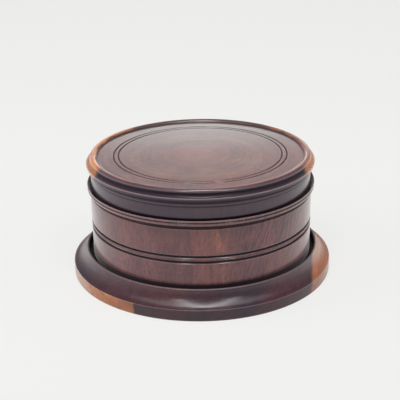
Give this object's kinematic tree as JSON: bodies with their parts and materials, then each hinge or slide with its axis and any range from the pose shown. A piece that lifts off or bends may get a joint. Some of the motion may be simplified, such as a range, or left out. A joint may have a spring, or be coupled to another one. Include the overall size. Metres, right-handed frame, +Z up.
{
  "type": "dip pen holder",
  "caption": "Round turned hardwood desk box on a moulded plinth; its flat ringed lid lifts off a drilled block that stands dip pens round a nib well.",
  "frame": {"origin": "centre of the foot, on the surface the holder stands on", "axes": "+Z up along the axis of the turning; the side that the picture sees faces -Y"},
  "size_m": [0.12, 0.12, 0.0556],
  "materials": {
    "polished_rosewood": "gloss varnish over purple-brown rosewood with orange sapwood",
    "oiled_rosewood": "oiled end grain, satin",
    "green_baize": "matt woollen baize",
    "brass_screw": "satin"
  },
  "bodies": {
    "holder": {"plinth": "polished_rosewood", "drum": "polished_rosewood", "pen_block_base": "oiled_rosewood", "pen_block_core": "oiled_rosewood", "pen_block_wedge_1": "oiled_rosewood", "pen_block_wedge_2": "oiled_rosewood", "pen_block_wedge_3": "oiled_rosewood", "pen_block_wedge_4": "oiled_rosewood", "pen_block_wedge_5": "oiled_rosewood", "pen_block_wedge_6": "oiled_rosewood", "baize_pad": "green_baize", "plinth_screw_1": "brass_screw", "plinth_screw_2": "brass_screw", "plinth_screw_3": "brass_screw"},
    "lid": {"lid": "polished_rosewood"}
  },
  "joints": [
    {"name": "lid_lift", "type": "slide", "parent": "holder", "child": "lid", "axis": [0, 0, 1], "range_m": [0, 0.06]}
  ]
}
